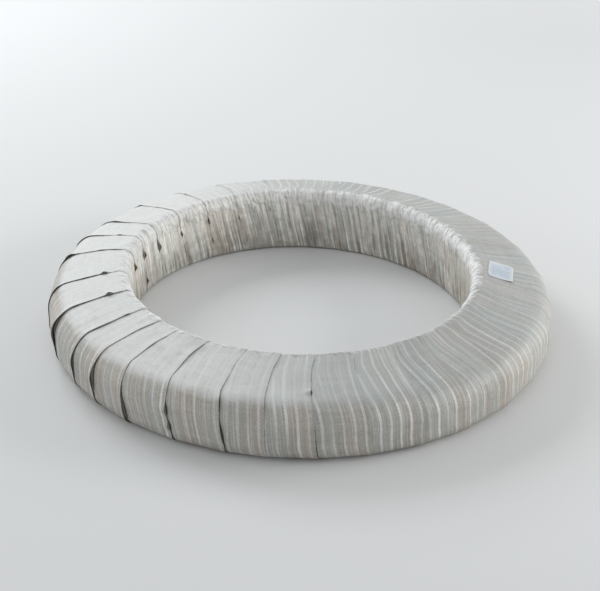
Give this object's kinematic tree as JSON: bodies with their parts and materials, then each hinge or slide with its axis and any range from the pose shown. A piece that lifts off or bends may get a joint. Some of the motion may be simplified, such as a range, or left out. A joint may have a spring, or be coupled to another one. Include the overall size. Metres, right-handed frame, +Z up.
{
  "type": "wrapped coil of steel packing strap",
  "caption": "Flat ring of steel packing strap, wrapped in a lapped strip of striped woven plastic cloth, with a small blank paper label.",
  "frame": {"origin": "centre of the underside, on the axis of the coil, at floor level", "axes": "+Z up along the axis of the coil; +X and +Y level, with the paper label on the crown close to +X"},
  "size_m": [0.7385, 0.739, 0.1028],
  "materials": {
    "steel_strap": "satin",
    "woven_wrap": "matte",
    "label_paper": "matte"
  },
  "bodies": {
    "root": {"strap_coil": "steel_strap", "wrapping": "woven_wrap", "paper_label": "label_paper"}
  },
  "joints": []
}
